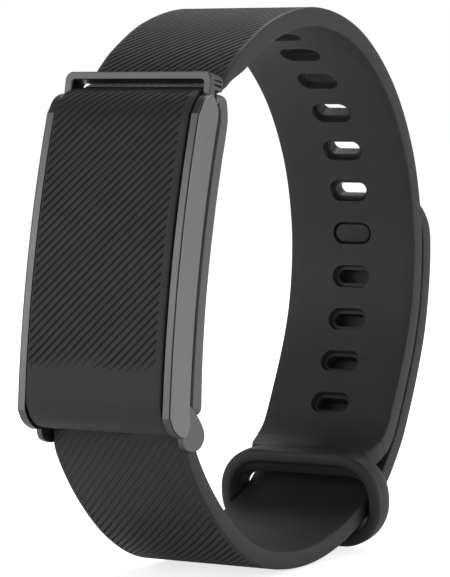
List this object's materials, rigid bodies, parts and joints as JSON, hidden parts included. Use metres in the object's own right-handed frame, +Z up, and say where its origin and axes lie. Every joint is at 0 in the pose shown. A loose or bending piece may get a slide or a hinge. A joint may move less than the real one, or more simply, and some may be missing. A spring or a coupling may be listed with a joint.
{
  "type": "fitness tracker band",
  "caption": "Screenless wrist fitness tracker: an arched metal-railed sensor pod under a ribbed face pad, on an elastomer strap fastened through a keeper by a stud.",
  "frame": {"origin": "centre of the bounding box in X and Y, at the lowest point of the band (Z = 0)", "axes": "+X across the strap (the wrist's axis), -Y out of the face pad, +Z up along the face; the pod leans back 10.5 degrees at its top"},
  "size_m": [0.0224, 0.0656, 0.0658],
  "materials": {
    "gunmetal": "satin",
    "steel": "satin",
    "elastomer": "matte",
    "ribbed_elastomer": "ribbed matte",
    "case_polymer": "fine matte",
    "seal": "matte",
    "cell_pouch": "satin foil",
    "board": "solder mask",
    "chip": "moulded",
    "contact": "plated",
    "window": "polished",
    "led": "clear lens"
  },
  "bodies": {
    "cradle": {"rail_left": "gunmetal", "rail_right": "gunmetal", "rail_pin_left_top": "steel", "rail_pin_left_bottom": "steel", "rail_pin_right_top": "steel", "rail_pin_right_bottom": "steel", "carrier_plate": "gunmetal", "top_loop": "gunmetal", "latch_bar": "steel", "flap_pin": "steel", "lower_bar_tube": "steel"},
    "face_flap": {"face_pad": "ribbed_elastomer", "pad_plate": "steel", "latch_hook": "gunmetal"},
    "sensor_pod": {"pod_lid": "case_polymer", "pod_tray": "case_polymer", "optical_window": "window", "battery_cell": "cell_pouch", "main_board": "board", "processor": "chip", "motion_sensor": "chip", "haptic_motor": "steel", "antenna": "contact", "light_baffle": "seal", "led_1": "led", "led_2": "led", "led_3": "led", "photodiode_1": "chip", "photodiode_2": "chip", "case_seal": "seal", "case_screw_1": "steel", "case_screw_2": "steel", "case_screw_3": "steel", "case_screw_4": "steel", "charge_contact_left": "contact", "charge_contact_right": "contact"},
    "upper_root": {"upper_strap_root": "elastomer"},
    "upper_end": {"upper_strap_holes": "elastomer"},
    "lower_root": {"lower_strap_root": "elastomer"},
    "lower_mid": {"lower_strap_mid": "elastomer"},
    "lower_tail": {"lower_strap_tail": "elastomer", "stud": "elastomer"},
    "tip_lower_left": {"lower_bar_tip_left": "steel"},
    "tip_lower_right": {"lower_bar_tip_right": "steel"}
  },
  "joints": [
    {"name": "flap_hinge", "type": "hinge", "parent": "cradle", "child": "face_flap", "pos_m": [0, -0.02253, 0.05552], "axis": [-1, 0, 0], "range_deg": [0, 42]},
    {"name": "pod_slide", "type": "slide", "parent": "cradle", "child": "sensor_pod", "axis": [0, 0.9833, -0.1822], "range_m": [0, 0.012]},
    {"name": "upper_pivot", "type": "hinge", "parent": "cradle", "child": "upper_root", "pos_m": [0, -0.02253, 0.05552], "axis": [1, 0, 0], "range_deg": [-4, 4], "stiffness_Nm_per_rad": 0.03},
    {"name": "upper_flex", "type": "hinge", "parent": "upper_root", "child": "upper_end", "pos_m": [0, 0.00068, 0.06457], "axis": [1, 0, 0], "range_deg": [-4, 4], "stiffness_Nm_per_rad": 0.03},
    {"name": "lower_pivot", "type": "hinge", "parent": "cradle", "child": "lower_root", "pos_m": [0, -0.02649, 0.01827], "axis": [1, 0, 0], "range_deg": [-4, 4], "stiffness_Nm_per_rad": 0.03},
    {"name": "lower_flex", "type": "hinge", "parent": "lower_root", "child": "lower_mid", "pos_m": [0, -0.0036, 0.00114], "axis": [1, 0, 0], "range_deg": [-4, 4], "stiffness_Nm_per_rad": 0.03},
    {"name": "tail_peel", "type": "hinge", "parent": "lower_mid", "child": "lower_tail", "pos_m": [0, 0.0225, 0.01099], "axis": [-1, 0, 0], "range_deg": [0, 35], "stiffness_Nm_per_rad": 0.004},
    {"name": "tip_slide_lower_left", "type": "slide", "parent": "cradle", "child": "tip_lower_left", "axis": [1, 0, 0], "range_m": [0, 0.0008], "stiffness_N_per_m": 200, "springref_m": -0.001},
    {"name": "tip_slide_lower_right", "type": "slide", "parent": "cradle", "child": "tip_lower_right", "axis": [-1, 0, 0], "range_m": [0, 0.0008], "stiffness_N_per_m": 200, "springref_m": -0.001}
  ],
  "couplings": [
    {"joint": "upper_flex", "follows": "upper_pivot", "ratio": -0.6035},
    {"joint": "lower_pivot", "follows": "upper_pivot", "ratio": 0.9399},
    {"joint": "lower_flex", "follows": "upper_pivot", "ratio": -0.5435}
  ]
}
